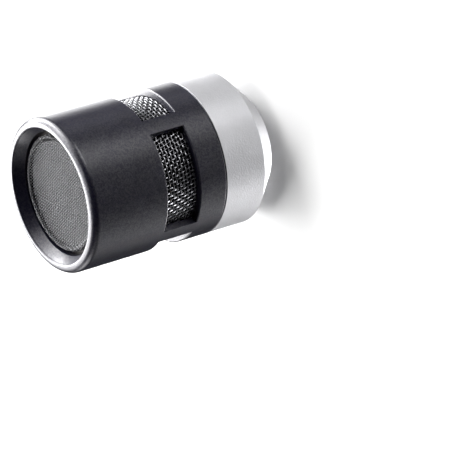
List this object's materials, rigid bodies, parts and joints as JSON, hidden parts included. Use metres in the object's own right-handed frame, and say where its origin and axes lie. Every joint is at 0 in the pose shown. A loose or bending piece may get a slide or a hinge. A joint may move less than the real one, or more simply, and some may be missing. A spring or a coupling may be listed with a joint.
{
  "type": "condenser microphone capsule",
  "caption": "Cylindrical condenser microphone capsule head with a woven front mesh, side sound windows and a tapered rear collar with a threaded socket.",
  "frame": {"origin": "middle of the flat rear face of the collar", "axes": "+Z along the capsule's axis towards the front sound inlet; the four side windows face +X, -X, +Y and -Y"},
  "size_m": [0.02, 0.02, 0.0289],
  "materials": {
    "black_anodised": "bead-blasted, black anodised",
    "satin_silver": "fine-blasted satin",
    "mesh_wire": "drawn wire, woven",
    "dark_gauze": "fine black gauze",
    "brass": "turned",
    "gold_film": "metallised film",
    "gold_contact": "gold plated",
    "insulating_film": "polyester film",
    "insulator": "machined",
    "spring_steel": "rolled"
  },
  "bodies": {
    "root": {"housing_sleeve": "black_anodised", "front_mesh": "mesh_wire", "front_gauze": "dark_gauze", "mesh_retaining_ring": "brass", "side_mesh": "mesh_wire", "side_gauze": "dark_gauze", "cartridge_shell": "brass", "cartridge_lock_ring": "brass", "diaphragm_ring": "brass", "diaphragm": "gold_film", "spacer_ring": "insulating_film", "backplate": "brass", "damping_disc": "dark_gauze", "backplate_insulator": "insulator", "preload_washer": "spring_steel", "backplate_stud": "brass", "stud_nut": "brass", "contact_spring": "gold_contact", "contact_pin": "gold_contact", "rear_insulator": "insulator", "insulator_lock_ring": "satin_silver", "rear_collar": "satin_silver"}
  },
  "joints": []
}
